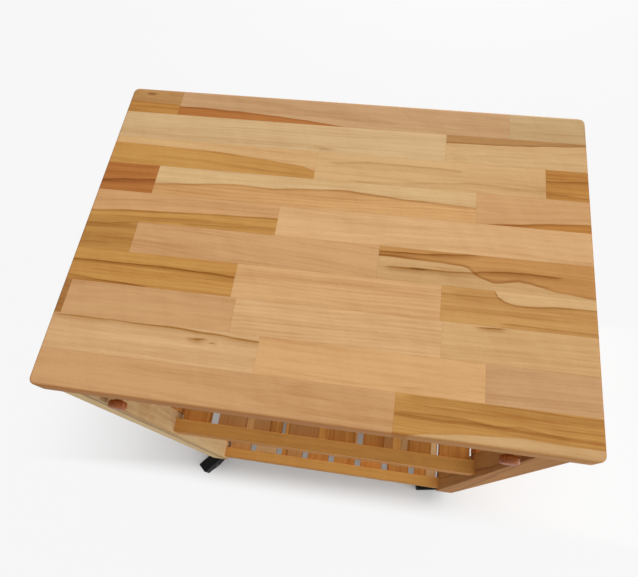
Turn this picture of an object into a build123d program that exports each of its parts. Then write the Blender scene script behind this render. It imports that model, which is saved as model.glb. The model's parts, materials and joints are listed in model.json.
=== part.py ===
import os
from math import cos, radians, sin

from build123d import *

os.makedirs("parts", exist_ok=True)

# Worktop, in millimetres; the origin is on the floor under its middle, +X along the staves, +Z up
overall_height = 940.0
top_width = 700.0
top_depth = 490.0
top_thickness = 32.0
top_corner_radius = 9.0
top_edge_radius = 4.0

# Joints of each row of staves, back row first, as shares of the row's length from the left
row_joints = [
    [0.121, 0.845],
    [0.716],
    [0.451, 0.916],
    [0.119, 0.782],
    [0.394],
    [0.111, 0.602],
    [0.334, 0.724],
    [0.016, 0.346, 0.729],
    [0.405, 0.807],
    [0.657],
]

# Legs
side_overhang = 24.0
front_overhang = 2.0
leg_width = 42.0
leg_depth = 44.0
leg_edge_radius = 2.5
leg_foot_chamfer = 1.5

# Aprons under the top
apron_height = 90.0
apron_thickness = 24.0
apron_setback = 14.0

# Shelf rails, and slats with a stub tenon at either end
upper_rail_top = 555.0
lower_rail_lift = 2.0
rail_thickness = 24.0
rail_setback = 6.0
rail_edge_radius = 2.0
rim_height = 21.0
slat_lift = 12.0
slat_count = 8
slat_thickness = 12.0
slat_gap = 15.5
slat_side_gap = 6.0
slat_edge_radius = 1.5
tenon_length = 10.0
tenon_shoulder = 12.0
tenon_cheek = 2.0

# Dowels in the butt joints of the frame
dowel_diameter = 8.0
rail_dowel_depth = 16.0
dowel_stem_wall = 2.5
dowel_end_gap = 0.5
dowel_chamfer = 0.8
apron_dowel_pitch = 50.0
rail_dowel_pitch = 22.0

# Screws that hold the top
top_screw_diameter = 4.5
top_screw_head_diameter = 9.0
top_screw_head_height = 2.8
top_screw_bite = 20.0
top_screw_grip = 28.0
top_screw_access_diameter = 11.0
long_apron_screw_spacing = 360.0
side_apron_screw_spacing = 210.0

# Turned pegs on the front apron
peg_inset = 19.0
peg_drop = 53.0
peg_stem_diameter = 10.0
peg_stem_length = 10.0
peg_tenon_depth = 14.0
peg_head_diameter = 26.0
peg_head_length = 11.0
peg_head_round = 4.0
peg_neck_round = 2.0

# Twin-wheel casters
wheel_diameter = 60.0
wheel_thickness = 8.0
wheel_edge_round = 2.0
wheel_dish_depth = 1.5
wheel_hub_diameter = 18.0
wheel_rim_diameter = 48.0
web_thickness = 6.0
hood_thickness = 2.0
hood_drop = 8.0
hood_heel = 13.0
hood_corner_radius = 3.5
hood_edge_radius = 2.0
boss_wall = 2.5
stem_diameter = 10.0
stem_depth = 38.0
stem_flange_diameter = 18.0
stem_flange_height = 2.5
axle_diameter = 6.0
axle_chamfer = 0.5

# Directions in which the casters trail, in degrees from +X
front_left_trail = 229.0
front_right_trail = 189.0

# Clearances
glue_clearance = 0.05
seat_clearance = 0.02
running_clearance = 0.05
tenon_end_gap = 0.5
slat_end_gap = 0.3
stem_end_gap = 2.0
wheel_side_gap = 0.6
wheel_hood_gap = 1.0
hood_leg_gap = 5.0

# Levels and places that follow from the sizes above
top_underside = overall_height - top_thickness
row_depth = top_depth / len(row_joints)
wheel_radius = wheel_diameter / 2
hood_inner_radius = wheel_radius + wheel_hood_gap
hood_outer_radius = hood_inner_radius + hood_thickness
caster_trail = stem_diameter / 2 + boss_wall + hood_inner_radius
leg_lift = wheel_radius + hood_outer_radius + hood_leg_gap
leg_length = top_underside - leg_lift
leg_x = top_width / 2 - side_overhang - leg_width / 2
leg_y = top_depth / 2 - front_overhang - leg_depth / 2
leg_face_y = leg_y + leg_depth / 2
inner_width = 2 * leg_x - leg_width
inner_depth = 2 * leg_y - leg_depth
apron_face_y = leg_face_y - apron_setback
rail_height = rim_height + slat_thickness + slat_lift
rail_face_y = leg_face_y - rail_setback
rail_inner_y = rail_face_y - rail_thickness
side_rail_x = inner_width / 2 + rail_thickness / 2
leg_dowel_depth = (min(leg_width, leg_depth) - stem_diameter) / 2 - dowel_stem_wall
slat_width = (inner_width - 2 * slat_side_gap - (slat_count - 1) * slat_gap) / slat_count
slat_pitch = slat_width + slat_gap
slat_xs = [(i - (slat_count - 1) / 2) * slat_pitch for i in range(slat_count)]
tenon_width = slat_width - 2 * tenon_shoulder
tenon_thickness = slat_thickness - 2 * tenon_cheek
mortise_depth = tenon_length + tenon_end_gap
peg_x = inner_width / 2 - peg_inset
peg_z = top_underside - peg_drop
wheel_inner_face = web_thickness / 2 + wheel_side_gap
wheel_outer_face = wheel_inner_face + wheel_thickness
well_width = wheel_thickness + 2 * wheel_side_gap
hood_width = web_thickness + 2 * (well_width + hood_thickness)
hood_toe = caster_trail + hood_outer_radius
hood_base = wheel_radius - hood_drop
hood_top = leg_lift - hood_leg_gap

sides = {"left": -1, "right": 1}
ends = {"front": -1, "back": 1}
shelf_bases = {
    "upper": upper_rail_top - rail_height,
    "lower": leg_lift + lower_rail_lift,
}
levels = {
    "apron": {
        "base": top_underside - apron_height,
        "height": apron_height,
        "thickness": apron_thickness,
        "centre_y": apron_face_y - apron_thickness / 2,
        "side_x": leg_x,
        "dowel_pitch": apron_dowel_pitch,
    },
}
for shelf, shelf_base in shelf_bases.items():
    levels[f"{shelf}_rail"] = {
        "base": shelf_base,
        "height": rail_height,
        "thickness": rail_thickness,
        "centre_y": rail_face_y - rail_thickness / 2,
        "side_x": side_rail_x,
        "dowel_pitch": rail_dowel_pitch,
    }
caster_trails = {
    ("front", "left"): front_left_trail,
    ("front", "right"): front_right_trail,
    ("back", "left"): front_right_trail - 180.0,
    ("back", "right"): front_left_trail - 180.0,
}


def facing(point, direction):
    return Plane(origin=point, z_dir=direction).location


def drill(places, diameter, depth):
    with Locations(*places):
        Cylinder(diameter / 2, depth, align=(Align.CENTER, Align.CENTER, Align.MIN), mode=Mode.SUBTRACT)


def countersink(places, head_diameter, diameter, height):
    with Locations(*places):
        Cone(
            head_diameter / 2,
            diameter / 2,
            height,
            align=(Align.CENTER, Align.CENTER, Align.MIN),
            mode=Mode.SUBTRACT,
        )


def drill_top_screw_holes(places, height):
    bore = top_screw_diameter + 2 * glue_clearance
    heads = [(x, y, top_underside - top_screw_grip) for x, y, z in places]
    drill(places, bore, height)
    drill(places, top_screw_access_diameter, height - top_screw_grip)
    countersink(heads, top_screw_head_diameter + 2 * glue_clearance, bore, top_screw_head_height)


def drive_screws(places, diameter, head_diameter, head_height, length):
    with Locations(*places):
        Cylinder(diameter / 2, length, align=(Align.CENTER, Align.CENTER, Align.MIN))
        Cone(head_diameter / 2, diameter / 2, head_height, align=(Align.CENTER, Align.CENTER, Align.MIN))


def save(piece, label):
    piece.label = label
    export_step(piece, f"parts/{label}.step")


def dowel_heights(level):
    middle = level["base"] + level["height"] / 2
    return [middle - level["dowel_pitch"] / 2, middle + level["dowel_pitch"] / 2]


# Worktop: one rounded panel, cut along its glue lines into separate staves
top_screw_points = [
    (x, end * levels["apron"]["centre_y"])
    for x in (-long_apron_screw_spacing / 2, long_apron_screw_spacing / 2)
    for end in ends.values()
] + [
    (side * leg_x, y)
    for y in (-side_apron_screw_spacing / 2, side_apron_screw_spacing / 2)
    for side in sides.values()
]

with BuildPart() as panel:
    with BuildSketch(Plane.XY.offset(top_underside)):
        RectangleRounded(top_width, top_depth, top_corner_radius)
    extrude(amount=top_thickness)
    fillet(panel.edges().group_by(Axis.Z)[0] + panel.edges().group_by(Axis.Z)[-1], top_edge_radius)
    drill(
        [(x, y, top_underside) for x, y in top_screw_points],
        top_screw_diameter + 2 * glue_clearance,
        top_screw_bite + glue_clearance,
    )

staves = []
for row, joints in enumerate(row_joints):
    row_y = top_depth / 2 - (row + 0.5) * row_depth
    stops = [(share - 0.5) * top_width for share in [0.0, *joints, 1.0]]
    for start, stop in zip(stops, stops[1:]):
        with BuildPart() as stave:
            add(panel.part)
            with BuildSketch(Plane.XY.offset(top_underside)):
                with Locations(((start + stop) / 2, row_y)):
                    Rectangle(stop - start, row_depth)
            extrude(amount=top_thickness, mode=Mode.INTERSECT)
        staves.append(stave.part.solid())
save(Compound(children=staves), "worktop")

# Legs: posts with eased edges, dowel holes on both inner faces and a bore for the caster stem
for end_name, end in ends.items():
    for side_name, side in sides.items():
        with BuildPart() as leg:
            with BuildSketch(Plane.XY.offset(leg_lift)):
                with Locations((side * leg_x, end * leg_y)):
                    Rectangle(leg_width, leg_depth)
            extrude(amount=leg_length)
            fillet(leg.edges().filter_by(Axis.Z), leg_edge_radius)
            chamfer(leg.faces().sort_by(Axis.Z)[0].edges(), leg_foot_chamfer)
            for level in levels.values():
                for z in dowel_heights(level):
                    long_joint = (side * inner_width / 2, end * level["centre_y"], z)
                    side_joint = (side * level["side_x"], end * inner_depth / 2, z)
                    drill(
                        [facing(long_joint, (side, 0, 0)), facing(side_joint, (0, end, 0))],
                        dowel_diameter + 2 * glue_clearance,
                        leg_dowel_depth + dowel_end_gap,
                    )
            drill(
                [(side * leg_x, end * leg_y, leg_lift)],
                stem_diameter + 2 * seat_clearance,
                stem_depth + stem_end_gap,
            )
        save(leg.part, f"leg_{end_name}_{side_name}")

# Aprons and shelf rails along the front and back, between the left and right legs
for level_name, level in levels.items():
    for end_name, end in ends.items():
        with BuildPart() as member:
            with BuildSketch(Plane.XY.offset(level["base"])):
                with Locations((0, end * level["centre_y"])):
                    Rectangle(inner_width, level["thickness"])
            extrude(amount=level["height"])
            fillet(member.edges().filter_by(Axis.X), rail_edge_radius)
            for side in sides.values():
                drill(
                    [
                        facing((side * inner_width / 2, end * level["centre_y"], z), (-side, 0, 0))
                        for z in dowel_heights(level)
                    ],
                    dowel_diameter + 2 * glue_clearance,
                    rail_dowel_depth + dowel_end_gap,
                )
            if level_name == "apron":
                access = [
                    (x, y, level["base"])
                    for x, y in top_screw_points
                    if abs(y - end * level["centre_y"]) < level["thickness"] / 2
                ]
                drill_top_screw_holes(access, level["height"])
            else:
                with BuildSketch(Plane.XY.offset(level["base"] + slat_lift + tenon_cheek - glue_clearance)):
                    with Locations(*[(x, end * (rail_inner_y + mortise_depth / 2)) for x in slat_xs]):
                        Rectangle(tenon_width + 2 * glue_clearance, mortise_depth)
                extrude(amount=tenon_thickness + 2 * glue_clearance, mode=Mode.SUBTRACT)
            if level_name == "apron" and end_name == "front":
                drill(
                    [facing((side * peg_x, -apron_face_y, peg_z), (0, 1, 0)) for side in sides.values()],
                    peg_stem_diameter + 2 * glue_clearance,
                    peg_tenon_depth + dowel_end_gap,
                )
        save(member.part, f"{level_name}_{end_name}")

# Aprons and shelf rails along the sides, between the front and back legs
for level_name, level in levels.items():
    for side_name, side in sides.items():
        with BuildPart() as member:
            with BuildSketch(Plane.XY.offset(level["base"])):
                with Locations((side * level["side_x"], 0)):
                    Rectangle(level["thickness"], inner_depth)
            extrude(amount=level["height"])
            fillet(member.edges().filter_by(Axis.Y), rail_edge_radius)
            for end in ends.values():
                drill(
                    [
                        facing((side * level["side_x"], end * inner_depth / 2, z), (0, -end, 0))
                        for z in dowel_heights(level)
                    ],
                    dowel_diameter + 2 * glue_clearance,
                    rail_dowel_depth + dowel_end_gap,
                )
            if level_name == "apron":
                access = [
                    (x, y, level["base"])
                    for x, y in top_screw_points
                    if abs(x - side * level["side_x"]) < level["thickness"] / 2
                ]
                drill_top_screw_holes(access, level["height"])
        save(member.part, f"{level_name}_{side_name}")

# Slats: boards from front to back, with stub tenons in the front and back rails
for shelf, base in shelf_bases.items():
    for number, x in enumerate(slat_xs, start=1):
        with BuildPart() as slat:
            with BuildSketch(Plane.XY.offset(base + slat_lift)):
                with Locations((x, 0)):
                    Rectangle(slat_width, 2 * (rail_inner_y - slat_end_gap))
            extrude(amount=slat_thickness)
            fillet(slat.edges().filter_by(Axis.Y), slat_edge_radius)
            with BuildSketch(Plane.XY.offset(base + slat_lift + tenon_cheek)):
                with Locations((x, 0)):
                    Rectangle(tenon_width, 2 * (rail_inner_y + tenon_length))
            extrude(amount=tenon_thickness)
        save(slat.part, f"{shelf}_slat_{number}")

# Pegs: turned knobs with a round tenon in the front apron, for hanging cloths
for side_name, side in sides.items():
    peg_plane = Plane(origin=(side * peg_x, -apron_face_y, peg_z), x_dir=(1, 0, 0), z_dir=(0, 0, -1))
    with BuildPart() as peg:
        with BuildSketch(peg_plane) as peg_profile:
            with BuildLine():
                Polyline(
                    (0, -peg_tenon_depth),
                    (peg_stem_diameter / 2, -peg_tenon_depth),
                    (peg_stem_diameter / 2, peg_stem_length),
                    (peg_head_diameter / 2, peg_stem_length),
                    (peg_head_diameter / 2, peg_stem_length + peg_head_length),
                    (0, peg_stem_length + peg_head_length),
                    close=True,
                )
            make_face()
            fillet(peg_profile.vertices().group_by(Axis.X)[-1], peg_head_round)
            fillet(peg_profile.vertices().group_by(Axis.X)[1].sort_by(Axis.Y)[-1], peg_neck_round)
        revolve(axis=Axis(peg_plane.origin, peg_plane.y_dir))
    save(peg.part, f"peg_{side_name}")

# Dowels of the frame
dowel_places = []
for level in levels.values():
    for z in dowel_heights(level):
        for side in sides.values():
            for end in ends.values():
                long_start = (side * (inner_width / 2 - rail_dowel_depth), end * level["centre_y"], z)
                side_start = (side * level["side_x"], end * (inner_depth / 2 - rail_dowel_depth), z)
                dowel_places += [facing(long_start, (side, 0, 0)), facing(side_start, (0, end, 0))]

with BuildPart() as frame_dowels:
    with Locations(*dowel_places):
        Cylinder(
            dowel_diameter / 2,
            rail_dowel_depth + leg_dowel_depth,
            align=(Align.CENTER, Align.CENTER, Align.MIN),
        )
    chamfer(frame_dowels.edges().filter_by(GeomType.CIRCLE), dowel_chamfer)
save(frame_dowels.part, "frame_dowels")

# Screws up through the aprons into the top
with BuildPart() as top_screws:
    drive_screws(
        [(x, y, top_underside - top_screw_grip) for x, y in top_screw_points],
        top_screw_diameter,
        top_screw_head_diameter,
        top_screw_head_height,
        top_screw_grip + top_screw_bite,
    )
save(top_screws.part, "top_screws")

# Caster stems: a shank in the leg, a flange under its foot and a journal for the hood
stem_feet = [(side * leg_x, end * leg_y) for side in sides.values() for end in ends.values()]
with BuildPart() as caster_stems:
    with BuildSketch(Plane.XY.offset(hood_base)):
        with Locations(*stem_feet):
            Circle(stem_diameter / 2)
    extrude(amount=leg_lift + stem_depth - hood_base)
    with BuildSketch(Plane.XY.offset(leg_lift - stem_flange_height)):
        with Locations(*stem_feet):
            Circle(stem_flange_diameter / 2)
    extrude(amount=stem_flange_height)
save(caster_stems.part, "caster_stems")

# Casters: a box hood that swivels on the stem, an axle pin across it and a wheel on either side of its web
for (end_name, side_name), trail_angle in caster_trails.items():
    corner = f"{end_name}_{side_name}"
    stem_foot = (sides[side_name] * leg_x, ends[end_name] * leg_y)
    along = Vector(cos(radians(trail_angle)), sin(radians(trail_angle)), 0)
    across = along.cross(Vector(0, 0, 1))
    hood_plane = Plane(origin=(*stem_foot, 0), x_dir=along, z_dir=across)
    hub = (caster_trail, wheel_radius)
    hub_plane = Plane(origin=hood_plane.from_local_coords(hub), x_dir=across, z_dir=-along)
    hub_axis = Axis(hub_plane.origin, across)

    with BuildPart() as hood:
        with BuildSketch(Plane(origin=(*stem_foot, hood_base), x_dir=along)):
            with Locations(((hood_toe - hood_heel) / 2, 0)):
                Rectangle(hood_toe + hood_heel, hood_width)
        extrude(amount=hood_top - hood_base)
        fillet(hood.edges().filter_by(Axis.Z), hood_corner_radius)
        fillet(hood.faces().sort_by(Axis.Z)[-1].edges(), hood_edge_radius)
        for way in (1, -1):
            with BuildSketch(hood_plane.offset(way * web_thickness / 2)):
                with Locations(hub):
                    Circle(hood_inner_radius)
                    Rectangle(2 * hood_inner_radius, wheel_radius, align=(Align.CENTER, Align.MAX))
            extrude(amount=way * well_width, mode=Mode.SUBTRACT)
        drill([(*stem_foot, hood_base)], stem_diameter + 2 * running_clearance, hood_top - hood_base)
        with BuildSketch(hood_plane):
            with Locations(hub):
                Circle(axle_diameter / 2 + seat_clearance)
        extrude(amount=hood_width / 2, both=True, mode=Mode.SUBTRACT)
    save(hood.part, f"caster_hood_{corner}")

    with BuildPart() as axle:
        with BuildSketch(hood_plane):
            with Locations(hub):
                Circle(axle_diameter / 2)
        extrude(amount=hood_width / 2, both=True)
        chamfer(axle.edges().filter_by(GeomType.CIRCLE), axle_chamfer)
    save(axle.part, f"caster_axle_{corner}")

    bore_radius = axle_diameter / 2 + running_clearance
    for wheel_name, way in (("a", 1), ("b", -1)):
        with BuildPart() as wheel:
            with BuildSketch(hub_plane) as wheel_profile:
                with BuildLine():
                    Polyline(
                        (way * wheel_inner_face, bore_radius),
                        (way * wheel_inner_face, wheel_radius),
                        (way * wheel_outer_face, wheel_radius),
                        (way * wheel_outer_face, wheel_rim_diameter / 2),
                        (way * (wheel_outer_face - wheel_dish_depth), wheel_rim_diameter / 2),
                        (way * (wheel_outer_face - wheel_dish_depth), wheel_hub_diameter / 2),
                        (way * wheel_outer_face, wheel_hub_diameter / 2),
                        (way * wheel_outer_face, bore_radius),
                        close=True,
                    )
                make_face()
                fillet(wheel_profile.vertices().group_by(Axis.Y)[-1], wheel_edge_round)
            revolve(axis=hub_axis)
        save(wheel.part, f"caster_wheel_{corner}_{wheel_name}")
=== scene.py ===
import json
import math
import random

import bmesh
import bpy
from mathutils import Matrix, Vector


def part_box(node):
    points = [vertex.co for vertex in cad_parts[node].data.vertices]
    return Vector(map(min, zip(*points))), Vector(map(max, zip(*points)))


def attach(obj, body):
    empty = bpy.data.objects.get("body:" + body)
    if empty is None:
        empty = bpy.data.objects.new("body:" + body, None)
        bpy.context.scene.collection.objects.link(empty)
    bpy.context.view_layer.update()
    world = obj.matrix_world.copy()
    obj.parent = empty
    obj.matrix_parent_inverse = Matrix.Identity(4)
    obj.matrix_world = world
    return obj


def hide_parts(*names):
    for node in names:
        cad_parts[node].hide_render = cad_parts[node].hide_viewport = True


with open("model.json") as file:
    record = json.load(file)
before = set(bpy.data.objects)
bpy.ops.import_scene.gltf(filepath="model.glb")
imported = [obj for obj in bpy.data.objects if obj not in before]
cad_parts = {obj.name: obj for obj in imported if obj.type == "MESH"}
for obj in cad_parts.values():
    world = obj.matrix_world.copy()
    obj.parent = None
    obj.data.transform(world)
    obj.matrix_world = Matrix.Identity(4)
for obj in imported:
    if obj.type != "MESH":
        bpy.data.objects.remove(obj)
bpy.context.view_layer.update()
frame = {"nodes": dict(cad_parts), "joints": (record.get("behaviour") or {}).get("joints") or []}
nodes = frame["nodes"]
scene = bpy.context.scene
print("frame loaded with", len(nodes), "nodes")


# wraps a node socket, so that shader maths reads as plain Python
class Wire:
    def __init__(self, tree, socket=None):
        self.tree = tree
        self.socket = socket

    def make(self, kind, settings=None, inputs=None, output=0):
        node = self.tree.nodes.new(kind)
        for name, value in (settings or {}).items():
            setattr(node, name, value)
        for key, value in (inputs or {}).items():
            if isinstance(value, Wire):
                self.tree.links.new(value.socket, node.inputs[key])
            else:
                node.inputs[key].default_value = value
        return Wire(self.tree, node.outputs[output])

    def math(self, operation, *values):
        return self.make("ShaderNodeMath", {"operation": operation}, dict(enumerate(values)))

    def __add__(self, other):
        return self.math("ADD", self, other)

    def __radd__(self, other):
        return self.math("ADD", other, self)

    def __sub__(self, other):
        return self.math("SUBTRACT", self, other)

    def __rsub__(self, other):
        return self.math("SUBTRACT", other, self)

    def __mul__(self, other):
        return self.math("MULTIPLY", self, other)

    def __rmul__(self, other):
        return self.math("MULTIPLY", other, self)

    def __truediv__(self, other):
        return self.math("DIVIDE", self, other)

    def __pow__(self, other):
        return self.math("POWER", self, other)

    def __abs__(self):
        return self.math("ABSOLUTE", self)

    def smaller(self, other):
        return self.math("MINIMUM", self, other)

    def larger(self, other):
        return self.math("MAXIMUM", self, other)

    def fract(self):
        return self.math("FRACT", self)

    def sine(self):
        return self.math("SINE", self)

    # 0 at low, 1 at high, smooth between and held beyond
    def ease(self, low, high):
        return self.make(
            "ShaderNodeMapRange",
            {"interpolation_type": "SMOOTHSTEP"},
            {"Value": self, "From Min": low, "From Max": high},
        )

    # first where this is 0, second where it is 1
    def blend(self, first, second, mode="MIX"):
        return self.make(
            "ShaderNodeMix",
            {"data_type": "RGBA", "blend_type": mode},
            {0: self, 6: first, 7: second},
            output=2,
        )

    def stretched(self, factors):
        return self.make("ShaderNodeVectorMath", {"operation": "MULTIPLY"}, {0: self, 1: factors})

    def split(self):
        return [self.make("ShaderNodeSeparateXYZ", None, {0: self}, output=i) for i in range(3)]

    def joined(self, x, y, z):
        return self.make("ShaderNodeCombineXYZ", None, {0: x, 1: y, 2: z})

    def noise(self, detail=2.0, roughness=0.5, scale=1.0):
        return self.make(
            "ShaderNodeTexNoise",
            None,
            {"Vector": self, "Scale": scale, "Detail": detail, "Roughness": roughness},
        )

    def attribute(self, name, output=2):
        return self.make("ShaderNodeAttribute", {"attribute_name": name}, None, output)

    def bump(self, strength, distance):
        return self.make(
            "ShaderNodeBump", None, {"Height": self, "Strength": strength, "Distance": distance}
        )


def newMaterial(name):
    material = bpy.data.materials.new(name)
    material.use_nodes = True
    shader = material.node_tree.nodes["Principled BSDF"]
    return material, shader, Wire(material.node_tree)


def plug(shader, name, value):
    if isinstance(value, Wire):
        value.tree.links.new(value.socket, shader.inputs[name])
    else:
        shader.inputs[name].default_value = value


# a colour as a picker shows it, made scene-linear
def colour(red, green, blue):
    levels = [level / 255 for level in (red, green, blue)]
    return tuple(((level + 0.055) / 1.055) ** 2.4 for level in levels) + (1.0,)


def setAttribute(mesh, name, kind, values):
    layer = mesh.attributes.new(name, kind, "POINT")
    field = {"FLOAT": "value", "FLOAT2": "vector", "FLOAT_VECTOR": "vector", "FLOAT_COLOR": "color"}[kind]
    flat = values if kind == "FLOAT" else [number for value in values for number in value]
    layer.data.foreach_set(field, flat)


# beech, from pale sapwood to brown heart
woodTones = {
    "ivory": colour(236, 197, 142),
    "bone": colour(232, 204, 156),
    "straw": colour(203, 172, 126),
    "linen": colour(228, 190, 138),
    "cream": colour(227, 182, 130),
    "pale": colour(219, 177, 123),
    "rose": colour(220, 170, 117),
    "hazel": colour(208, 163, 116),
    "tan": colour(223, 175, 120),
    "dusk": colour(203, 156, 99),
    "apricot": colour(229, 178, 118),
    "amber": colour(193, 146, 90),
    "honey": colour(209, 155, 82),
    "caramel": colour(218, 165, 97),
    "olive": colour(204, 148, 75),
    "copper": colour(206, 150, 86),
    "rust": colour(206, 144, 70),
    "umber": colour(196, 124, 52),
    "red": colour(194, 124, 60),
    "brown": colour(177, 124, 66),
}

# widths in metres; a depth is how far a detail darkens the wood
woodLook = {
    "ringSpacing": 0.0036,
    "ringDepth": 0.20,
    "bandDepth": 0.26,
    "strandDepth": 0.85,
    "fibreDepth": 0.45,
    "fleckDepth": 0.25,
    # flameDepth: the ripple figure, partly a painted sheen
    "flameDepth": 0.30,
    "rayDepth": 0.06,
    "streakDepth": 0.60,
    "lineWidth": 0.0019,
    "haloWidth": 0.0105,
    "haloDepth": 0.48,
    "lineDepth": 1.2,
    "rimDepth": 0.5,
    "driftDepth": 0.50,
    "endDepth": 0.45,
    "glueWidth": 0.0005,
    "glueDepth": 0.40,
    # edgeDepth paints shade on the rounded edges
    "edgeDepth": 0.55,
    # sideDepth paints shade on upright faces, making them darker than faces that look up
    "sideDepth": 0.0,
    "knotDepth": 0.88,
    "knotRings": 16.0,
    "knotRingDepth": 0.12,
    "roughness": 0.72,
    "specular": 0.2,
    "bumpStrength": 0.22,
    "bumpDistance": 0.00022,
    "shade": (0.66, 0.50, 0.34, 1.0),
    "dark": (0.48, 0.31, 0.035, 1.0),
    "knot": (0.42, 0.20, 0.01, 1.0),
    "light": (1.08, 1.09, 1.08, 1.0),
}

# how often each detail repeats in a metre: along the grain, across it and through the board
grainScale = {
    "sway": (2.6, 11.0, 11.0),
    "wobble": (13.0, 70.0, 70.0),
    "curl": (38.0, 90.0, 90.0),
    "years": (1.0, 30.0, 30.0),
    "fleck": (230.0, 2300.0, 2300.0),
    "ray": (420.0, 260.0, 3200.0),
    "patchy": (7.0, 60.0, 60.0),
    "drift": (2.4, 15.0, 15.0),
}


# wood along one axis; each board's pith, seed, tints, heart, lines and knot are in its attributes
def woodMaterial(name, along, look=woodLook):
    material, shader, wire = newMaterial(name)
    place = wire.make("ShaderNodeTexCoord", None, None, output=3)
    normal = wire.make("ShaderNodeTexCoord", None, None, output=1)
    x, y, z = place.split()
    run, across, deep = {"X": (x, y, z), "Y": (y, x, z), "Z": (z, x, y)}[along]
    facing = [abs(part) for part in normal.split()]
    endGrain = facing["XYZ".index(along)].ease(0.5, 0.85)
    # painted shade: mask of the rounded edges, where the surface turns away from the flat faces
    edgeShade = (1 - facing[0].larger(facing[1]).larger(facing[2])).ease(0.01, 0.16)
    pithAcross, pithDeep, seed = wire.attribute("board", 1).split()
    heart, lineA, lineB = wire.attribute("figure", 1).split()
    heartAmount, strengthA, strengthB = wire.attribute("strength", 1).split()
    knotX, knotY, knotAmount = wire.attribute("knot", 1).split()
    seamEnd, seamSide = wire.attribute("seam", 1).split()[:2]
    lean, streakDepth, rimDepth = wire.attribute("grain", 1).split()
    across = across + lean * run

    # every board is cut from another place in the tree
    tree = wire.joined(run + seed * 3.7, across + seed * 1.3, deep - seed * 2.1)
    sway = tree.stretched(grainScale["sway"]).noise(2.0) - 0.5
    wobble = tree.stretched(grainScale["wobble"]).noise(3.0) - 0.5
    curl = tree.stretched(grainScale["curl"]).noise(2.0) - 0.5
    knotNear = (knotX * knotX + knotY * knotY) ** 0.5
    knotMask = (1 - knotNear.ease(0.45, 1.15)) * knotAmount
    knotPush = (1 - knotNear.ease(0.6, 3.4)) * knotAmount
    radius = ((across - pithAcross) ** 2.0 + (deep - pithDeep) ** 2.0) ** 0.5
    radius = radius + sway * 0.022 + wobble * 0.0016 + knotPush * 0.012
    phase = (radius / look["ringSpacing"]).fract()
    ring = phase.ease(0.25, 0.93) * (1 - phase.ease(0.93, 1.0))
    years = tree.stretched(grainScale["years"]).noise(2.0).ease(0.35, 0.65)
    band = wire.joined(run * 1.7 + seed, radius * 95.0, seed).noise(3.0, 0.6)
    weave = sway * 0.012 + wobble * 0.003 + curl * 0.0011 + knotPush * 0.004
    woven = across + weave
    wovenDeep = deep + weave
    strand = wire.joined(run * 7.0, woven * 210.0 + seed * 9.0, wovenDeep * 210.0).noise(3.0, 0.65)
    fibre = wire.joined(run * 22.0, woven * 900.0 + seed, wovenDeep * 900.0).noise(2.0, 0.6)
    fleck = tree.stretched(grainScale["fleck"]).noise(1.0).ease(0.60, 0.74)
    ray = tree.stretched(grainScale["ray"]).noise(1.0).ease(0.62, 0.72)
    # ripple figure across the grain, and painted sheen: fixed light and dark bands stand in for the wood's
    # shifting shimmer
    flameAndSheen = wire.joined(run * 46.0 + across * 22.0, across * 9.0 + seed, deep * 9.0).noise(2.0)

    # heartwood: dark along its edge, fading inward, with streaks along the grain
    edge = heart + wobble * 0.0045 + sway * 0.004 + curl * 0.0006
    inHeart = edge.ease(-0.0006, 0.0007) * heartAmount
    rim = edge.ease(-0.0009, 0.0004) * (1 - edge.ease(0.0006, 0.0052)) * heartAmount * rimDepth
    streak = wire.joined(run * 2.3 + seed * 2.0, woven * 190.0, seed).noise(4.0, 0.68)
    streak = streak.ease(0.44, 0.70) * streakDepth
    wave = wobble * 0.006 + sway * 0.005 + curl * 0.0008
    drawn = 0.0
    for line, strength in ((lineA, strengthA), (lineB, strengthB)):
        offset = line + wave
        core = 1 - abs(offset).ease(0.0, look["lineWidth"])
        halo = offset.ease(-0.0008, 0.0008) * (1 - offset.ease(0.0, look["haloWidth"]))
        drawn = (core * (1 - look["haloDepth"]) + halo * look["haloDepth"]) * strength + drawn
    patchy = tree.stretched(grainScale["patchy"]).noise(2.0).ease(0.25, 0.62)
    lines = (rim * look["rimDepth"] + drawn) * (0.45 + 0.55 * patchy)
    drift = tree.stretched(grainScale["drift"]).noise(2.0) - 0.5
    glue = 1 - seamEnd.smaller(seamSide).ease(0.0, look["glueWidth"])

    base = inHeart.blend(wire.attribute("sap", 0), wire.attribute("heartTint", 0))
    shade = ring * years * look["ringDepth"] + band.ease(0.42, 0.75) * look["bandDepth"]
    shade = shade + (strand - 0.44) * look["strandDepth"] + (fibre - 0.45) * look["fibreDepth"]
    shade = shade + drift * look["driftDepth"] + (flameAndSheen - 0.48) * look["flameDepth"]
    shade = shade + fleck * look["fleckDepth"] + ray * look["rayDepth"]
    shade = shade + inHeart * streak * look["streakDepth"]
    shade = shade + endGrain * look["endDepth"] + glue * look["glueDepth"]
    # painted shade along the rounded edges, patchy
    shade = shade + edgeShade * (0.6 + 0.4 * patchy) * look["edgeDepth"]
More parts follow.
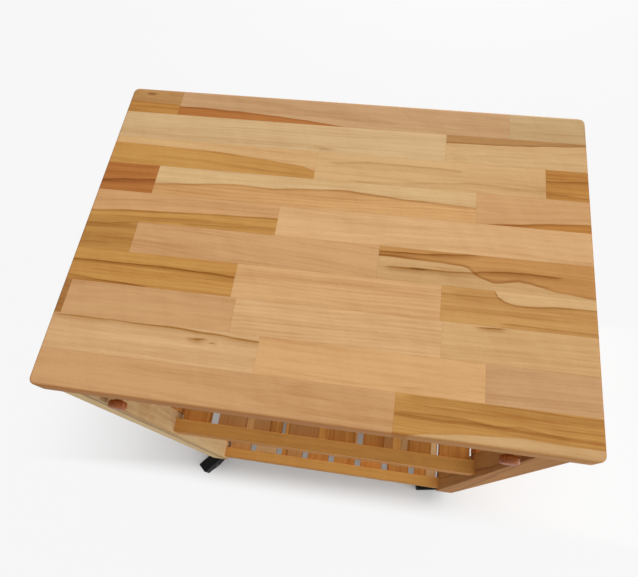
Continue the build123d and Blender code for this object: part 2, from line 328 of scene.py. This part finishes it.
    # painted shade: upright faces, such as the top's front edge, are made darker than the top face
    shade = shade + (1 - facing[2].ease(0.3, 0.8)) * look["sideDepth"]
    toned = shade.larger(0.0).blend(base, look["shade"], "MULTIPLY")
    toned = ((0.46 - band) * 2.2).ease(0.0, 1.0).blend(toned, look["light"], "MULTIPLY")
    toned = (lines * look["lineDepth"]).smaller(1.0).blend(toned, look["dark"], "MULTIPLY")
    knotRings = (knotNear * look["knotRings"]).sine() * look["knotRingDepth"]
    toned = (knotMask * (look["knotDepth"] + knotRings)).blend(toned, look["knot"], "MULTIPLY")
    plug(shader, "Base Color", toned)
    plug(shader, "Roughness", look["roughness"] + (fibre - 0.5) * 0.16 + fleck * 0.07 + endGrain * 0.16)
    height = fibre * 0.45 - fleck * 0.6 - ring * 0.15 - glue * 0.8 - lines * 0.12
    plug(shader, "Normal", height.bump(look["bumpStrength"], look["bumpDistance"]))
    plug(shader, "Specular IOR Level", look["specular"])
    return material


woodAlong = {axis: woodMaterial("oiledBeechAlong" + axis, axis) for axis in "XYZ"}
print("wood materials made")

# worktop, back row first: each stave says where it ends, as a share of the length, then its tones and figure
# edge bounds the heartwood, which lies in front of it at side 1 and behind it at side -1
# points of edges and dark lines are millimetres from the left end of the top and from the back of the row
# knot gives its place, its half width and half depth, and its strength
# rim, streak and lineDepth scale the heart's dark rim, its streaks and the lines; lean is the grain's slope
worktop = {
    "edgeRound": 0.004,
    "cornerRound": 0.009,
    "roundSteps": (0.0003, 0.0012, 0.0025, 0.004, 0.0065, 0.009),
    "cell": 0.008,
    "seed": 11,
    # painted shade on the top's upright edge faces
    "sideDepth": 0.85,
    "lineFade": 12.0,
    "rows": [
        [
            {
                "end": 0.121, "sap": "amber", "heart": "olive", "side": 1, "rim": 0.15,
                "edge": [(0, 26), (85, 29)], "knot": (33, 11, 10, 3.4, 0.7),
            },
            {
                "end": 0.845, "sap": "hazel", "heart": "red", "side": 1, "streak": 0.6,
                "edge": [(85, 33), (130, 32), (180, 34), (240, 37), (280, 41), (320, 45), (368, 51)],
            },
            {"end": 1.0, "sap": "straw"},
        ],
        [
            {
                "end": 0.716, "sap": "linen", "lineDepth": 0.45,
                "lines": [[(314, 40), (330, 42)]], "knot": (322, 44, 9, 2.0, 0.2),
            },
            {
                "end": 1.0, "sap": "linen", "heart": "amber", "side": -1, "rim": 0.4,
                "edge": [(500, 15), (560, 13), (620, 10), (660, 7), (700, 4)],
            },
        ],
        [
            {
                "end": 0.451, "sap": "pale", "heart": "honey", "side": 1, "rim": 0.2, "streak": 0.5,
                "edge": [(0, 11), (150, 14), (225, 21), (295, 28), (318, 36)],
            },
            {
                "end": 0.916, "sap": "pale", "lineDepth": 0.5,
                "lines": [
                    [(378, 46), (440, 44), (500, 37), (545, 33), (641, 37)],
                    [(345, 17), (400, 12), (520, 14)],
                ],
            },
            {
                "end": 1.0, "sap": "olive", "heart": "olive", "side": 1, "edge": [(641, -30), (700, -32)],
                "lines": [[(641, 20), (700, 17)], [(641, 41), (700, 43)]],
            },
        ],
        [
            {
                "end": 0.119, "sap": "red", "heart": "red", "side": 1, "streak": 0.7,
                "edge": [(0, -30), (84, -33)], "lines": [[(0, 31), (50, 28), (84, 25)]],
            },
            {
                "end": 0.782, "sap": "ivory", "heart": "apricot", "side": 1, "streak": 0.25,
                "edge": [
                    (83, 31), (130, 28), (180, 22), (210, 21), (260, 22), (300, 19), (360, 15), (400, 17),
                    (450, 21), (500, 23), (547, 24),
                ],
            },
            {
                "end": 1.0, "sap": "rose", "heart": "rust", "side": 1, "lean": -0.02,
                "edge": [(550, 49), (600, 45), (650, 40), (700, 36)],
            },
        ],
        [
            {
                "end": 0.394, "sap": "rose", "heart": "honey", "side": 1, "lineDepth": 0.5, "streak": 0.6,
                "edge": [(0, 35), (60, 31), (130, 27), (200, 24), (276, 22)],
                "lines": [[(0, 44), (60, 41), (120, 38), (180, 35)], [(150, 44), (276, 39)]],
            },
            {"end": 1.0, "sap": "cream"},
        ],
        [
            {
                "end": 0.111, "sap": "olive", "heart": "olive", "side": 1, "lineDepth": 0.6,
                "edge": [(0, -24), (78, -30)], "lines": [[(0, 8), (30, 6), (62, 3)], [(0, 39), (40, 36)]],
            },
            {"end": 0.602, "sap": "rose", "lean": 0.07},
            {
                "end": 1.0, "sap": "pale", "heart": "copper", "side": -1, "lean": 0.0, "streak": 0.6,
                "edge": [
                    (421, 16), (500, 17), (538, 19), (546, 28), (560, 35), (574, 39), (590, 36), (602, 33),
                    (615, 34), (632, 38), (655, 43), (700, 47),
                ],
                "lines": [
                    [(421, 7), (480, 5), (520, 2), (545, -1)],
                    [(440, 29), (474, 29), (520, 29), (545, 27), (562, 23), (585, 21), (650, 20)],
                ],
                "knot": (476, 29, 13, 2.4, 0.6),
            },
        ],
        [
            {
                "end": 0.334, "sap": "honey", "heart": "honey", "side": 1, "streak": 0.7,
                "edge": [(0, -40), (234, -40)],
                "lines": [
                    [(0, 19), (60, 18), (130, 16), (190, 18), (234, 21)],
                    [(0, 42), (50, 45), (110, 48)],
                ],
            },
            {"end": 0.724, "sap": "tan"},
            {
                "end": 1.0, "sap": "ivory", "heart": "caramel", "side": 1, "lean": 0.0, "streak": 0.5,
                "edge": [
                    (506, -9), (570, -8), (577, 6), (581, 11), (592, 15), (606, 16.5), (622, 15.5), (650, 13),
                    (700, 11),
                ],
                "lines": [[(506, 10), (550, 10), (578, 8)], [(590, 43), (650, 44), (700, 43)]],
                "lineDepth": 0.6,
            },
        ],
        [
            {"end": 0.016, "sap": "brown"},
            {"end": 0.346, "sap": "rose"},
            {"end": 0.729, "sap": "cream"},
            {"end": 1.0, "sap": "pale", "lines": [[(560, 3), (580, 2)]]},
        ],
        [
            {
                "end": 0.405, "sap": "cream",
                "lines": [[(10, 2), (160, 1.5), (220, 4), (284, 7)], [(200, 13), (208, 12)]],
                "knot": (224, 17, 5, 1.0, 0.55),
            },
            {"end": 0.807, "sap": "tan", "lineDepth": 0.5, "lines": [[(474, 41), (486, 40)]]},
            {"end": 1.0, "sap": "hazel", "lean": -0.03},
        ],
        [
            {"end": 0.657, "sap": "rose", "lean": 0.02},
            {
                "end": 1.0, "sap": "pale", "heart": "honey", "side": -1, "rim": 0.25,
                "lean": 0.0, "lineDepth": 0.55,
                "edge": [(460, 54), (500, 44), (540, 40), (580, 37), (610, 35), (650, 36), (700, 36)],
                "lines": [
                    [(466, 22), (540, 21), (580, 24), (602, 22), (650, 27)],
                    [(480, 2), (560, 1), (620, 2), (700, 2)],
                ],
            },
        ],
    ],
}


# lines from low to high, closer together where an outer edge is rounded
def gridLines(low, high, cell, steps, roundLow, roundHigh):
    start = [low] + [low + step for step in steps if roundLow]
    stop = [high - step for step in reversed(steps) if roundHigh] + [high]
    count = max(1, round((stop[0] - start[-1]) / cell))
    middle = [start[-1] + (stop[0] - start[-1]) * i / count for i in range(1, count)]
    return start + middle + stop


# closed box of quads on the given grid lines
def gridShell(xs, ys, zs):
    verts = []
    faces = []
    index = {}

    def vert(i, j, k):
        if (i, j, k) not in index:
            index[i, j, k] = len(verts)
            verts.append(Vector((xs[i], ys[j], zs[k])))
        return index[i, j, k]

    lastX, lastY, lastZ = len(xs) - 1, len(ys) - 1, len(zs) - 1
    for i in range(lastX):
        for j in range(lastY):
            for k, turn in ((0, -1), (lastZ, 1)):
                quad = [vert(i, j, k), vert(i + 1, j, k), vert(i + 1, j + 1, k), vert(i, j + 1, k)]
                faces.append(quad[::turn])
    for j in range(lastY):
        for k in range(lastZ):
            for i, turn in ((0, -1), (lastX, 1)):
                quad = [vert(i, j, k), vert(i, j + 1, k), vert(i, j + 1, k + 1), vert(i, j, k + 1)]
                faces.append(quad[::turn])
    for i in range(lastX):
        for k in range(lastZ):
            for j, turn in ((0, -1), (lastY, 1)):
                quad = [vert(i, j, k), vert(i, j, k + 1), vert(i + 1, j, k + 1), vert(i + 1, j, k)]
                faces.append(quad[::turn])
    return verts, faces


# moves a point of the square slab to the slab with rounded corners and edges
def easedPoint(point, half, bottom, top):
    x, y, z = point
    corner = worktop["cornerRound"]
    rounding = worktop["edgeRound"]
    signs = Vector((math.copysign(1, x), math.copysign(1, y)))
    past = Vector((abs(x) - half.x + corner, abs(y) - half.y + corner))
    if past.x > 0 and past.y > 0:
        past *= max(past) / past.length
        inward = Vector((-past.x * signs.x, -past.y * signs.y)).normalized()
        depth = corner - past.length
    elif past.x > past.y:
        inward = Vector((-signs.x, 0))
        depth = corner - past.x
    else:
        inward = Vector((0, -signs.y))
        depth = corner - past.y
    plan = Vector(((half.x - corner + past.x) * signs.x, (half.y - corner + past.y) * signs.y))
    upward = -1 if z > (bottom + top) / 2 else 1
    level = min(z - bottom, top - z)
    if depth < rounding and level < rounding:
        share = Vector((rounding - depth, rounding - level))
        share *= max(share) / share.length
        plan += inward * (rounding - share.x - depth)
        z += upward * (rounding - share.y - level)
    return Vector((plan.x, plan.y, z))


# height of a smooth line through its points, level beyond its ends
def lineAt(points, x):
    if x <= points[0][0]:
        return points[0][1]
    for (x0, y0), (x1, y1) in zip(points, points[1:]):
        if x <= x1:
            share = (x - x0) / (x1 - x0)
            share = 0.5 * share + 0.5 * share * share * (3 - 2 * share)
            return y0 + (y1 - y0) * share
    return points[-1][1]


def boardFields(count, board, sap, heartTint, grain):
    return {
        "board": [board] * count,
        "sap": [sap] * count,
        "heartTint": [heartTint] * count,
        "grain": [grain] * count,
        "figure": [(0.0, 1.0, 1.0)] * count,
        "strength": [(0.0, 0.0, 0.0)] * count,
        "knot": [(9.0, 9.0, 0.0)] * count,
        "seam": [(1.0, 1.0)] * count,
    }


fieldKinds = {
    "board": "FLOAT_VECTOR",
    "sap": "FLOAT_COLOR",
    "heartTint": "FLOAT_COLOR",
    "grain": "FLOAT_VECTOR",
    "figure": "FLOAT_VECTOR",
    "strength": "FLOAT_VECTOR",
    "knot": "FLOAT_VECTOR",
    "seam": "FLOAT2",
}


# a pith somewhere below the board, so that its rings lie flat or steep
def pithOf(chance, centreAcross, centreDeep, seed):
    turn = math.radians(chance.uniform(205, 335))
    reach = chance.uniform(0.05, 0.13)
    return (centreAcross + reach * math.cos(turn), centreDeep + reach * math.sin(turn), seed)


def tinted(chance, tone, spread=0.05):
    level = 1 + chance.uniform(-spread, spread)
    warmth = chance.uniform(-spread, spread) * 0.4
    red, green, blue, alpha = woodTones[tone]
    return (red * level * (1 + warmth), green * level, blue * level * (1 - 1.5 * warmth), alpha)


# slope of the grain: near that of the heart's edge, or almost none
def leanOf(stave, chance):
    lean = chance.uniform(-0.012, 0.012)
    if "edge" in stave:
        (x0, y0), (x1, y1) = stave["edge"][0], stave["edge"][-1]
        lean = (y1 - y0) / (x1 - x0) / 2
    return stave.get("lean", lean)


def staveFields(stave, verts, left, back, low, high, chance, number):
    middle = (low + high) / 2
    board = pithOf(chance, middle.y, middle.z, number * 0.37)
    sap = tinted(chance, stave["sap"])
    heartTint = tinted(chance, stave.get("heart", stave["sap"]))
    grain = (leanOf(stave, chance), stave.get("streak", 1.0), stave.get("rim", 1.0))
    fields = boardFields(len(verts), board, sap, heartTint, grain)
    lines = stave.get("lines", [])
    for i, point in enumerate(verts):
        x = (point.x - left) * 1000
        y = (back - point.y) * 1000
        figure = [0.0, 1.0, 1.0]
        strength = [0.0, 0.0, 0.0]
        if "edge" in stave:
            figure[0] = (y - lineAt(stave["edge"], x)) * stave["side"] / 1000
            strength[0] = 1.0
        for k, line in enumerate(lines, start=1):
            figure[k] = (y - lineAt(line, x)) / 1000
            beyond = max(line[0][0] - x, x - line[-1][0], 0)
            strength[k] = stave.get("lineDepth", 1.0) * max(0.0, 1 - beyond / worktop["lineFade"])
        fields["figure"][i] = tuple(figure)
        fields["strength"][i] = tuple(strength)
        if "knot" in stave:
            knotX, knotY, wide, deep, amount = stave["knot"]
            fields["knot"][i] = ((x - knotX) / wide, (y - knotY) / deep, amount)
    return fields


# distances to the nearest glued end and glued side
def seamDistances(point, seams):
    left, right, front, back = seams
    ends = [abs(point.x - seam) for seam in (left, right) if seam is not None]
    flanks = [abs(point.y - seam) for seam in (front, back) if seam is not None]
    return (min(ends, default=1.0), min(flanks, default=1.0))


def addFields(mesh, fields):
    for name, values in fields.items():
        setAttribute(mesh, name, fieldKinds[name], values)


# smooth over rounded edges, crisp at square ones
def smoothMesh(mesh, limit=35):
    work = bmesh.new()
    work.from_mesh(mesh)
    for face in work.faces:
        face.smooth = True
    for edge in work.edges:
        edge.smooth = len(edge.link_faces) == 2 and edge.calc_face_angle(0) < math.radians(limit)
    work.to_mesh(mesh)
    work.free()


def makeWorktop():
    low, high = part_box("worktop")
    half = Vector(((high.x - low.x) / 2, (high.y - low.y) / 2))
    rowDepth = (high.y - low.y) / len(worktop["rows"])
    steps = worktop["roundSteps"]
    chance = random.Random(worktop["seed"])
    zs = gridLines(low.z, high.z, worktop["cell"], steps[:4], True, True)
    allVerts = []
    allFaces = []
    allFields = {name: [] for name in fieldKinds}
    number = 0
    for row, staves in enumerate(worktop["rows"]):
        back = high.y - row * rowDepth
        front = back - rowDepth
        isBack = row == 0
        isFront = row == len(worktop["rows"]) - 1
        ys = gridLines(front, back, worktop["cell"], steps, isFront, isBack)
        start = low.x
        for stave in staves:
            stop = low.x + stave["end"] * (high.x - low.x)
            number += 1
            xs = gridLines(start, stop, worktop["cell"], steps, start == low.x, stave["end"] == 1.0)
            verts, faces = gridShell(xs, ys, zs)
            boxLow = Vector((start, front, low.z))
            boxHigh = Vector((stop, back, high.z))
            fields = staveFields(stave, verts, low.x, back, boxLow, boxHigh, chance, number)
            seams = (
                start if start > low.x else None,
                stop if stave["end"] < 1.0 else None,
                None if isFront else front,
                None if isBack else back,
            )
            fields["seam"] = [seamDistances(point, seams) for point in verts]
            base = len(allVerts)
            allVerts += [easedPoint(point, half, low.z, high.z) for point in verts]
            allFaces += [[base + i for i in face] for face in faces]
            for name, values in fields.items():
                allFields[name] += values
            start = stop
    mesh = bpy.data.meshes.new("worktopStaves")
    mesh.from_pydata(allVerts, [], allFaces)
    addFields(mesh, allFields)
    smoothMesh(mesh)
    staves = bpy.data.objects.new("worktopStaves", mesh)
    scene.collection.objects.link(staves)
    mesh.materials.append(woodMaterial("oiledStaves", "X", {**woodLook, "sideDepth": worktop["sideDepth"]}))
    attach(staves, "table")
    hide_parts("worktop")
    print("worktop made of", number, "staves and", len(allVerts), "points")


makeWorktop()

# boards of the frame: grain direction and tones to draw from
# a board belongs to the longest key that its name starts with
boardSets = {
    "leg_front_left": {"along": "Z", "sap": ["bone"], "heart": "straw"},
    "leg_back": {"along": "Z", "sap": ["pale"], "heart": "tan"},
    "leg_front_right": {"along": "Z", "sap": ["brown"], "heart": "brown"},
    "apron_front": {"along": "X", "sap": ["amber"], "heart": "honey"},
    "apron_back": {"along": "X", "sap": ["amber"], "heart": "honey"},
    "apron": {"along": "Y", "sap": ["amber"], "heart": "honey"},
    "upper_rail_front": {"along": "X", "sap": ["olive"], "heart": "rust"},
    "upper_rail_back": {"along": "X", "sap": ["rust"], "heart": "umber"},
    "lower_rail_front": {"along": "X", "sap": ["olive"], "heart": "honey"},
    "lower_rail_back": {"along": "X", "sap": ["rust"], "heart": "umber"},
    "upper_rail": {"along": "Y", "sap": ["rust"], "heart": "umber"},
    "lower_rail": {"along": "Y", "sap": ["rust"], "heart": "umber"},
    "upper_slat": {"along": "Y", "sap": ["straw", "dusk", "amber"], "heart": "olive"},
    "lower_slat": {"along": "Y", "sap": ["straw", "olive", "amber"], "heart": "rust"},
    "frame_dowels": {"along": "X", "sap": ["pale"], "heart": "pale"},
}
boardLook = {
    "seed": 23,
    "tiltSeed": 29,
    "firstTree": 20,
    "treeStep": 0.53,
    "tint": 0.08,
    "lean": 0.01,
    "slant": 0.035,
    "tilt": (0.55, 1.0),
    "offset": (-0.9, 1.3),
}
boardChance = random.Random(boardLook["seed"])
tiltChance = random.Random(boardLook["tiltSeed"])


def boardSetOf(name):
    fitting = [key for key in boardSets if name.startswith(key)]
    return boardSets[max(fitting, key=len)] if fitting else None


def dressBoards():
    dressed = 0
    for name in sorted(nodes):
        boardSet = boardSetOf(name)
        if boardSet is None:
            continue
        mesh = nodes[name].data
        low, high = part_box(name)
        middle = (low + high) / 2
        run, across, deep = {"X": (0, 1, 2), "Y": (1, 0, 2), "Z": (2, 0, 1)}[boardSet["along"]]
        treePlace = boardLook["firstTree"] + dressed * boardLook["treeStep"]
        board = pithOf(boardChance, middle[across], middle[deep], treePlace)
        sap = tinted(boardChance, boardChance.choice(boardSet["sap"]), boardLook["tint"])
        heartTint = tinted(boardChance, boardSet["heart"], boardLook["tint"])
        grain = (boardChance.uniform(-boardLook["lean"], boardLook["lean"]), 1.0, 1.0)
        fields = boardFields(len(mesh.vertices), board, sap, heartTint, grain)
        # the heartwood's edge lies aslant, so that it runs along the grain on every face
        slant = boardChance.uniform(-boardLook["slant"], boardLook["slant"])
        tilt = tiltChance.uniform(*boardLook["tilt"]) * tiltChance.choice((-1, 1))
        half = (high - low) / 2
        slope = (math.cos(tilt), math.sin(tilt))
        reach = slope[0] * half[across] + abs(slope[1]) * half[deep]
        offset = boardChance.uniform(*boardLook["offset"]) * reach
        side = boardChance.choice((-1, 1))
        for i, vertex in enumerate(mesh.vertices):
            spot = vertex.co - middle
            away = slope[0] * spot[across] + slope[1] * spot[deep] - slant * spot[run] - offset
            fields["figure"][i] = (side * away, 1.0, 1.0)
            fields["strength"][i] = (1.0, 0.0, 0.0)
        addFields(mesh, fields)
        mesh.materials.clear()
        mesh.materials.append(woodAlong[boardSet["along"]])
        dressed += 1
    print("boards dressed:", dressed)


dressBoards()

# turned pegs, stained dark
pegLook = {
    "stain": colour(172, 97, 40),
    "deep": colour(96, 46, 20),
    "grain": (260.0, 40.0, 900.0),
    "pores": (900.0, 160.0, 2600.0),
    "roughness": 0.42,
    "specular": 0.3,
}


def pegMaterial():
    material, shader, wire = newMaterial("stainedPeg")
    place = wire.make("ShaderNodeTexCoord", None, None, output=3)
    grain = place.stretched(pegLook["grain"]).noise(4.0, 0.6)
    pores = place.stretched(pegLook["pores"]).noise(1.0).ease(0.58, 0.7)
    darkness = grain.ease(0.3, 0.75) * 0.8 + pores * 0.2
    plug(shader, "Base Color", darkness.blend(pegLook["stain"], pegLook["deep"]))
    plug(shader, "Roughness", pegLook["roughness"] + grain * 0.15)
    plug(shader, "Specular IOR Level", pegLook["specular"])
    plug(shader, "Normal", (grain - pores * 0.5).bump(0.15, 0.0002))
    return material


stainedPeg = pegMaterial()
for name in ("peg_left", "peg_right"):
    nodes[name].data.materials.clear()
    nodes[name].data.materials.append(stainedPeg)
print("pegs stained")

# casters, stems, axles and screws
casterLook = {
    "black": colour(9, 9, 9),
    "scuffed": colour(34, 33, 32),
    "dust": colour(66, 63, 59),
    "scuffs": (300.0, 300.0, 90.0),
    "tread": (0.0276, 0.0294),
    "turning": 5200.0,
    "hoodRoughness": 0.52,
    "wheelRoughness": 0.45,
    "specular": 0.12,
    "bumpStrength": 0.25,
    "bumpDistance": 0.0001,
}
steelLook = {
    "bright": colour(190, 191, 194),
    "dull": colour(140, 141, 145),
    "brushing": (2400.0, 2400.0, 160.0),
    "roughness": 0.28,
}


def hoodMaterial():
    material, shader, wire = newMaterial("mouldedHood")
    place = wire.make("ShaderNodeTexCoord", None, None, output=3)
    spark = place.noise(3.0, 0.6, 1400.0)
    patch = place.noise(3.0, 0.55, 60.0)
    scuff = place.stretched(casterLook["scuffs"]).noise(4.0, 0.7).ease(0.62, 0.74)
    wear = scuff * 0.5 + patch * 0.18
    plug(shader, "Base Color", wear.blend(casterLook["black"], casterLook["scuffed"]))
    plug(shader, "Roughness", casterLook["hoodRoughness"] + patch * 0.14 + spark * 0.08)
    plug(shader, "Specular IOR Level", casterLook["specular"])
    plug(shader, "Normal", spark.bump(casterLook["bumpStrength"], casterLook["bumpDistance"]))
    return material


def wheelMaterial():
    material, shader, wire = newMaterial("rollingWheel")
    place = wire.make("ShaderNodeTexCoord", None, None, output=3)
    spread = wire.attribute("hubDistance")
    tread = spread.ease(*casterLook["tread"])
    turned = (spread * casterLook["turning"]).sine()
    patch = place.noise(3.0, 0.6, 110.0)
    grit = place.noise(2.0, 0.6, 1500.0)
    dust = tread * patch.ease(0.35, 0.7)
    wear = dust * 0.45 + patch * 0.12
    plug(shader, "Base Color", wear.blend(casterLook["black"], casterLook["dust"]))
    plug(shader, "Roughness", casterLook["wheelRoughness"] + patch * 0.12 + tread * 0.2)
    plug(shader, "Specular IOR Level", casterLook["specular"])
    height = grit * (0.2 + tread) + turned * 0.06
    plug(shader, "Normal", height.bump(casterLook["bumpStrength"], casterLook["bumpDistance"]))
    return material


def steelMaterial():
    material, shader, wire = newMaterial("zincSteel")
    place = wire.make("ShaderNodeTexCoord", None, None, output=3)
    patch = place.noise(3.0, 0.6, 180.0)
    brushed = place.stretched(steelLook["brushing"]).noise(2.0)
    plug(shader, "Metallic", 1.0)
    plug(shader, "Base Color", patch.ease(0.3, 0.7).blend(steelLook["dull"], steelLook["bright"]))
    plug(shader, "Roughness", steelLook["roughness"] + patch * 0.16 + brushed * 0.1)
    plug(shader, "Normal", brushed.bump(0.1, 0.00005))
    return material


def dressCasters():
    hood = hoodMaterial()
    wheel = wheelMaterial()
    steel = steelMaterial()
    joints = {joint["child"]: joint for joint in frame["joints"]}
    for name, node in nodes.items():
        mesh = node.data
        if name.startswith("caster_hood"):
            finish = hood
        elif name.startswith("caster_wheel"):
            finish = wheel
            joint = joints[name.replace("caster_", "")]
            hub = Vector(joint["pos_m"])
            axis = Vector(joint["axis"]).normalized()
            reach = [(vertex.co - hub).cross(axis).length for vertex in mesh.vertices]
            setAttribute(mesh, "hubDistance", "FLOAT", reach)
        elif name.startswith("caster_") or name.endswith("_screws"):
            finish = steel
        else:
            continue
        mesh.materials.clear()
        mesh.materials.append(finish)
    print("casters and fasteners dressed")


dressCasters()


# rays that show the backdrop as it is: straight ones and those that metal or gloss sends on
def seenRays(wire):
    kinds = ("Is Camera Ray", "Is Glossy Ray", "Is Transmission Ray")
    camera, glossy, through = [wire.make("ShaderNodeLightPath", None, None, kind) for kind in kinds]
    return camera.larger(glossy).larger(through)


# pale floor: it keeps the shadow near the table, turns an even white further off
# and throws back less light than it shows; longShadow lets the shadow reach further to the sides
floorLook = {
    "size": 14.0,
    "tone": (0.84, 0.84, 0.84, 1.0),
    "mottle": (0.82, 0.82, 0.82, 1.0),
    "dull": (0.38, 0.38, 0.38, 1.0),
    "roughness": 0.9,
    "seen": (0.932, 0.932, 0.932, 1.0),
    "specular": 0.1,
    "far": 0.97,
    "fade": 0.075,
    "longShadow": 0.12,
}


def makeFloor():
    reach = floorLook["size"] / 2
    mesh = bpy.data.meshes.new("floor")
    corners = [(-reach, -reach, 0), (reach, -reach, 0), (reach, reach, 0), (-reach, reach, 0)]
    mesh.from_pydata(corners, [], [(0, 1, 2, 3)])
    floor = bpy.data.objects.new("floor", mesh)
    scene.collection.objects.link(floor)
    material, shader, wire = newMaterial("paleFloor")
    place = wire.make("ShaderNodeTexCoord", None, None, output=3)
    plug(shader, "Base Color", place.noise(2.0, 0.5, 3.0).blend(floorLook["tone"], floorLook["mottle"]))
    plug(shader, "Roughness", floorLook["roughness"])
    plug(shader, "Specular IOR Level", floorLook["specular"])
    low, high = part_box("worktop")
    x, y, z = place.split()
    away = ((abs(x) - high.x) * floorLook["longShadow"]).larger(abs(y) - high.y)
    evenness = away.ease(0.0, floorLook["fade"]) * floorLook["far"]
    even = wire.make("ShaderNodeEmission", None, {"Color": floorLook["seen"], "Strength": 1.0})
    dull = wire.make("ShaderNodeBsdfDiffuse", None, {"Color": floorLook["dull"]})
    lit = Wire(wire.tree, shader.outputs[0])
    pale = wire.make("ShaderNodeMixShader", None, {0: evenness, 1: lit, 2: even})
    mixed = wire.make("ShaderNodeMixShader", None, {0: seenRays(wire), 1: dull, 2: pale})
    wire.tree.links.new(mixed.socket, material.node_tree.nodes["Material Output"].inputs["Surface"])
    mesh.materials.append(material)


makeFloor()

# soft studio light, mostly from above and the right
lamps = {
    "keySoftbox": {"place": (2.4, 0.2, 8.6), "aim": (0.0, 0.0, 0.6), "size": 5.0, "power": 282},
    "rightSoftbox": {"place": (2.0, -0.35, 0.3), "aim": (-0.25, -0.15, 0.5), "size": 0.8, "power": 24},
    "backSoftbox": {"place": (0.3, 2.6, 0.9), "aim": (0.0, 0.0, 0.5), "size": 1.4, "power": 52},
    "frontSoftbox": {"place": (1.3, -2.4, 0.7), "aim": (-0.2, -0.2, 0.5), "size": 1.0, "power": 12},
}
worldLight = {"tone": (1.0, 1.0, 1.0, 1.0), "strength": 0.46, "seen": (0.93, 0.93, 0.93, 1.0)}


def makeLamps():
    for name, lamp in lamps.items():
        light = bpy.data.lights.new(name, "AREA")
        light.energy = lamp["power"]
        light.size = lamp["size"]
        holder = bpy.data.objects.new(name, light)
        holder.location = lamp["place"]
        aim = Vector(lamp["aim"]) - Vector(lamp["place"])
        holder.rotation_euler = aim.to_track_quat("-Z", "Y").to_euler()
        holder.visible_camera = False
        scene.collection.objects.link(holder)


def makeWorld():
    world = bpy.data.worlds.new("studio")
    world.use_nodes = True
    scene.world = world
    wire = Wire(world.node_tree)
    shine = world.node_tree.nodes["Background"]
    shine.inputs["Strength"].default_value = worldLight["strength"]
    shine.inputs["Color"].default_value = worldLight["tone"]
    backdrop = wire.make("ShaderNodeBackground", None, {"Color": worldLight["seen"], "Strength": 1.0})
    lit = Wire(wire.tree, shine.outputs[0])
    mixed = wire.make("ShaderNodeMixShader", None, {0: seenRays(wire), 1: lit, 2: backdrop})
    wire.tree.links.new(mixed.socket, world.node_tree.nodes["World Output"].inputs["Surface"])


makeLamps()
makeWorld()
scene.view_settings.view_transform = "Standard"
print("floor and lights set")

# camera, from the photograph's angle
camera = {
    "place": (0.0756, -0.3411, 1.5717),
    "aim": (-0.0013, -0.0724, 0.94),
    "roll": -8.4,
    "lens": 29.65,
    "sensor": 36.0,
    "clipStart": 0.02,
}


def makeCamera():
    view = bpy.data.cameras.new("camera")
    view.lens = camera["lens"]
    view.sensor_width = camera["sensor"]
    view.clip_start = camera["clipStart"]
    holder = bpy.data.objects.new("camera", view)
    aim = Vector(camera["aim"]) - Vector(camera["place"])
    turn = aim.to_track_quat("-Z", "Y").to_matrix().to_4x4()
    roll = Matrix.Rotation(math.radians(camera["roll"]), 4, "Z")
    holder.matrix_world = Matrix.Translation(camera["place"]) @ turn @ roll
    scene.collection.objects.link(holder)
    scene.camera = holder


makeCamera()
print("camera set")
